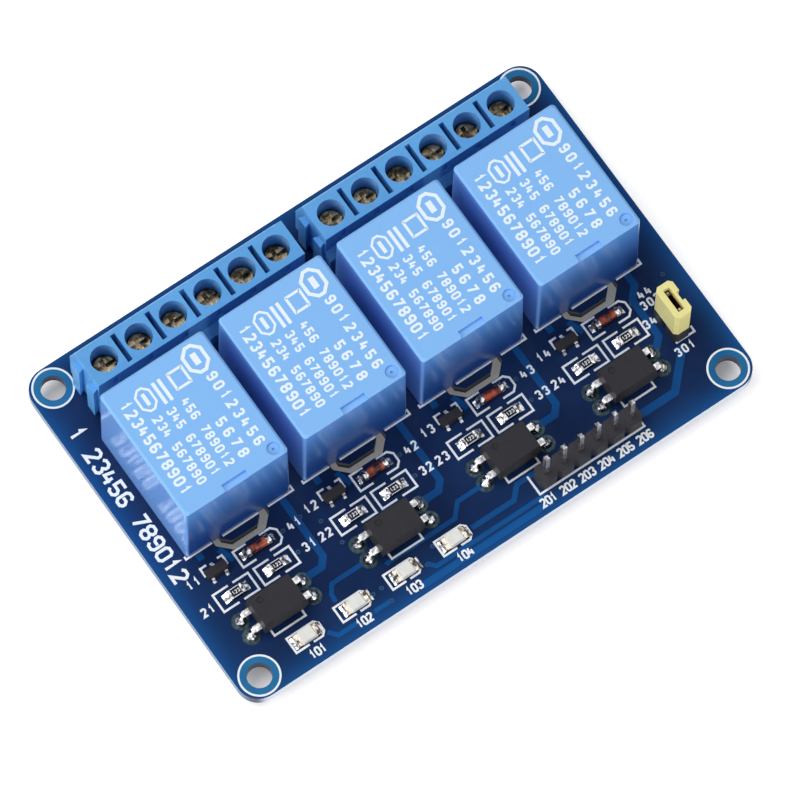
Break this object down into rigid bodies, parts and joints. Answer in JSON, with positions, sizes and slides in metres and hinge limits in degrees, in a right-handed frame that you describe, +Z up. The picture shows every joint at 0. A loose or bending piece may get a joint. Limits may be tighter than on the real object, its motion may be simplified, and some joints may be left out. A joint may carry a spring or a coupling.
{
  "type": "relay module board",
  "caption": "Circuit board with sealed relays, screw terminals along one edge, opto-isolated driver parts, an input pin header and a pull-off jumper.",
  "frame": {"origin": "centre of the four mounting holes, on the board's underside", "axes": "+X along the terminal row, +Y from the pin header towards the screw terminals, +Z up out of the board's component side"},
  "size_m": [0.0762, 0.0508, 0.0189],
  "materials": {
    "board_mask": "glossy solder mask over glass fibre",
    "relay_cover_plastic": "translucent moulded plastic",
    "relay_base_plastic": "moulded plastic with sealing resin",
    "soft_iron": "nickel-plated soft iron",
    "bobbin_plastic": "white moulded nylon",
    "copper_winding": "enamelled copper wire",
    "contact_alloy": "bright copper alloy",
    "tinned_lead": "tin-plated",
    "terminal_plastic": "moulded polyamide, satin",
    "plated_steel": "zinc-plated",
    "dark_resin": "moulded epoxy, matt",
    "diode_glass": "orange-red glass",
    "resistor_film": "black glazed film on ceramic",
    "led_lens": "clear to milky resin",
    "gold_plate": "gold-plated",
    "header_plastic": "moulded nylon, matt",
    "jumper_plastic": "moulded nylon, satin",
    "solder": "bright solder"
  },
  "bodies": {
    "board": {"circuit_board": "board_mask", "relay_1_cover": "relay_cover_plastic", "relay_2_cover": "relay_cover_plastic", "relay_3_cover": "relay_cover_plastic", "relay_4_cover": "relay_cover_plastic", "relay_bases": "relay_base_plastic", "relay_yokes": "soft_iron", "relay_cores": "soft_iron", "relay_bobbins": "bobbin_plastic", "relay_windings": "copper_winding", "relay_coil_pins": "tinned_lead", "relay_contacts": "contact_alloy", "left_terminal_housing": "terminal_plastic", "right_terminal_housing": "terminal_plastic", "terminal_cages": "tinned_lead", "optocoupler_bodies": "dark_resin", "optocoupler_leads": "tinned_lead", "transistor_bodies": "dark_resin", "transistor_leads": "tinned_lead", "diode_bodies": "diode_glass", "diode_end_caps": "tinned_lead", "resistor_bodies": "resistor_film", "resistor_end_caps": "tinned_lead", "led_bodies": "led_lens", "led_end_caps": "gold_plate", "input_header_strip": "header_plastic", "input_header_pins": "gold_plate", "jumper_header_strip": "header_plastic", "jumper_header_pins": "gold_plate", "solder_joints": "solder"},
    "armature_1": {"relay_1_armature": "soft_iron"},
    "armature_2": {"relay_2_armature": "soft_iron"},
    "armature_3": {"relay_3_armature": "soft_iron"},
    "armature_4": {"relay_4_armature": "soft_iron"},
    "clamp_1": {"terminal_1_clamp": "contact_alloy"},
    "screw_1": {"terminal_1_screw": "plated_steel"},
    "clamp_2": {"terminal_2_clamp": "contact_alloy"},
    "screw_2": {"terminal_2_screw": "plated_steel"},
    "clamp_3": {"terminal_3_clamp": "contact_alloy"},
    "screw_3": {"terminal_3_screw": "plated_steel"},
    "clamp_4": {"terminal_4_clamp": "contact_alloy"},
    "screw_4": {"terminal_4_screw": "plated_steel"},
    "clamp_5": {"terminal_5_clamp": "contact_alloy"},
    "screw_5": {"terminal_5_screw": "plated_steel"},
    "clamp_6": {"terminal_6_clamp": "contact_alloy"},
    "screw_6": {"terminal_6_screw": "plated_steel"},
    "clamp_7": {"terminal_7_clamp": "contact_alloy"},
    "screw_7": {"terminal_7_screw": "plated_steel"},
    "clamp_8": {"terminal_8_clamp": "contact_alloy"},
    "screw_8": {"terminal_8_screw": "plated_steel"},
    "clamp_9": {"terminal_9_clamp": "contact_alloy"},
    "screw_9": {"terminal_9_screw": "plated_steel"},
    "clamp_10": {"terminal_10_clamp": "contact_alloy"},
    "screw_10": {"terminal_10_screw": "plated_steel"},
    "clamp_11": {"terminal_11_clamp": "contact_alloy"},
    "screw_11": {"terminal_11_screw": "plated_steel"},
    "clamp_12": {"terminal_12_clamp": "contact_alloy"},
    "screw_12": {"terminal_12_screw": "plated_steel"},
    "jumper": {"jumper_cap": "jumper_plastic", "jumper_clip": "contact_alloy"}
  },
  "joints": [
    {"name": "armature_1_rock", "type": "hinge", "parent": "board", "child": "armature_1", "pos_m": [-0.0261, -0.00165, 0.01395], "axis": [-1, 0, 0], "range_deg": [0, 2.9], "stiffness_Nm_per_rad": 0.002, "springref_deg": -3.44},
    {"name": "armature_2_rock", "type": "hinge", "parent": "board", "child": "armature_2", "pos_m": [-0.0087, -0.00165, 0.01395], "axis": [-1, 0, 0], "range_deg": [0, 2.9], "stiffness_Nm_per_rad": 0.002, "springref_deg": -3.44},
    {"name": "armature_3_rock", "type": "hinge", "parent": "board", "child": "armature_3", "pos_m": [0.0087, -0.00165, 0.01395], "axis": [-1, 0, 0], "range_deg": [0, 2.9], "stiffness_Nm_per_rad": 0.002, "springref_deg": -3.44},
    {"name": "armature_4_rock", "type": "hinge", "parent": "board", "child": "armature_4", "pos_m": [0.0261, -0.00165, 0.01395], "axis": [-1, 0, 0], "range_deg": [0, 2.9], "stiffness_Nm_per_rad": 0.002, "springref_deg": -3.44},
    {"name": "clamp_1_slide", "type": "slide", "parent": "board", "child": "clamp_1", "axis": [0, 0, 1], "range_m": [0, 0.0025]},
    {"name": "screw_1_turn", "type": "hinge", "parent": "clamp_1", "child": "screw_1", "pos_m": [-0.02949, 0.019, 0.0066], "axis": [0, 0, 1], "range_deg": [0, 1801]},
    {"name": "clamp_2_slide", "type": "slide", "parent": "board", "child": "clamp_2", "axis": [0, 0, 1], "range_m": [0, 0.0025]},
    {"name": "screw_2_turn", "type": "hinge", "parent": "clamp_2", "child": "screw_2", "pos_m": [-0.02441, 0.019, 0.0066], "axis": [0, 0, 1], "range_deg": [0, 1801]},
    {"name": "clamp_3_slide", "type": "slide", "parent": "board", "child": "clamp_3", "axis": [0, 0, 1], "range_m": [0, 0.0025]},
    {"name": "screw_3_turn", "type": "hinge", "parent": "clamp_3", "child": "screw_3", "pos_m": [-0.01933, 0.019, 0.0066], "axis": [0, 0, 1], "range_deg": [0, 1801]},
    {"name": "clamp_4_slide", "type": "slide", "parent": "board", "child": "clamp_4", "axis": [0, 0, 1], "range_m": [0, 0.0025]},
    {"name": "screw_4_turn", "type": "hinge", "parent": "clamp_4", "child": "screw_4", "pos_m": [-0.01425, 0.019, 0.0066], "axis": [0, 0, 1], "range_deg": [0, 1801]},
    {"name": "clamp_5_slide", "type": "slide", "parent": "board", "child": "clamp_5", "axis": [0, 0, 1], "range_m": [0, 0.0025]},
    {"name": "screw_5_turn", "type": "hinge", "parent": "clamp_5", "child": "screw_5", "pos_m": [-0.00917, 0.019, 0.0066], "axis": [0, 0, 1], "range_deg": [0, 1801]},
    {"name": "clamp_6_slide", "type": "slide", "parent": "board", "child": "clamp_6", "axis": [0, 0, 1], "range_m": [0, 0.0025]},
    {"name": "screw_6_turn", "type": "hinge", "parent": "clamp_6", "child": "screw_6", "pos_m": [-0.00409, 0.019, 0.0066], "axis": [0, 0, 1], "range_deg": [0, 1801]},
    {"name": "clamp_7_slide", "type": "slide", "parent": "board", "child": "clamp_7", "axis": [0, 0, 1], "range_m": [0, 0.0025]},
    {"name": "screw_7_turn", "type": "hinge", "parent": "clamp_7", "child": "screw_7", "pos_m": [0.00409, 0.019, 0.0066], "axis": [0, 0, 1], "range_deg": [0, 1801]},
    {"name": "clamp_8_slide", "type": "slide", "parent": "board", "child": "clamp_8", "axis": [0, 0, 1], "range_m": [0, 0.0025]},
    {"name": "screw_8_turn", "type": "hinge", "parent": "clamp_8", "child": "screw_8", "pos_m": [0.00917, 0.019, 0.0066], "axis": [0, 0, 1], "range_deg": [0, 1801]},
    {"name": "clamp_9_slide", "type": "slide", "parent": "board", "child": "clamp_9", "axis": [0, 0, 1], "range_m": [0, 0.0025]},
    {"name": "screw_9_turn", "type": "hinge", "parent": "clamp_9", "child": "screw_9", "pos_m": [0.01425, 0.019, 0.0066], "axis": [0, 0, 1], "range_deg": [0, 1801]},
    {"name": "clamp_10_slide", "type": "slide", "parent": "board", "child": "clamp_10", "axis": [0, 0, 1], "range_m": [0, 0.0025]},
    {"name": "screw_10_turn", "type": "hinge", "parent": "clamp_10", "child": "screw_10", "pos_m": [0.01933, 0.019, 0.0066], "axis": [0, 0, 1], "range_deg": [0, 1801]},
    {"name": "clamp_11_slide", "type": "slide", "parent": "board", "child": "clamp_11", "axis": [0, 0, 1], "range_m": [0, 0.0025]},
    {"name": "screw_11_turn", "type": "hinge", "parent": "clamp_11", "child": "screw_11", "pos_m": [0.02441, 0.019, 0.0066], "axis": [0, 0, 1], "range_deg": [0, 1801]},
    {"name": "clamp_12_slide", "type": "slide", "parent": "board", "child": "clamp_12", "axis": [0, 0, 1], "range_m": [0, 0.0025]},
    {"name": "screw_12_turn", "type": "hinge", "parent": "clamp_12", "child": "screw_12", "pos_m": [0.02949, 0.019, 0.0066], "axis": [0, 0, 1], "range_deg": [0, 1801]},
    {"name": "jumper_pull", "type": "slide", "parent": "board", "child": "jumper", "axis": [0, 0, 1], "range_m": [0, 0.008]}
  ],
  "couplings": [
    {"joint": "screw_1_turn", "follows": "clamp_1_slide", "rad_per_m": 12566},
    {"joint": "screw_2_turn", "follows": "clamp_2_slide", "rad_per_m": 12566},
    {"joint": "screw_3_turn", "follows": "clamp_3_slide", "rad_per_m": 12566},
    {"joint": "screw_4_turn", "follows": "clamp_4_slide", "rad_per_m": 12566},
    {"joint": "screw_5_turn", "follows": "clamp_5_slide", "rad_per_m": 12566},
    {"joint": "screw_6_turn", "follows": "clamp_6_slide", "rad_per_m": 12566},
    {"joint": "screw_7_turn", "follows": "clamp_7_slide", "rad_per_m": 12566},
    {"joint": "screw_8_turn", "follows": "clamp_8_slide", "rad_per_m": 12566},
    {"joint": "screw_9_turn", "follows": "clamp_9_slide", "rad_per_m": 12566},
    {"joint": "screw_10_turn", "follows": "clamp_10_slide", "rad_per_m": 12566},
    {"joint": "screw_11_turn", "follows": "clamp_11_slide", "rad_per_m": 12566},
    {"joint": "screw_12_turn", "follows": "clamp_12_slide", "rad_per_m": 12566}
  ]
}
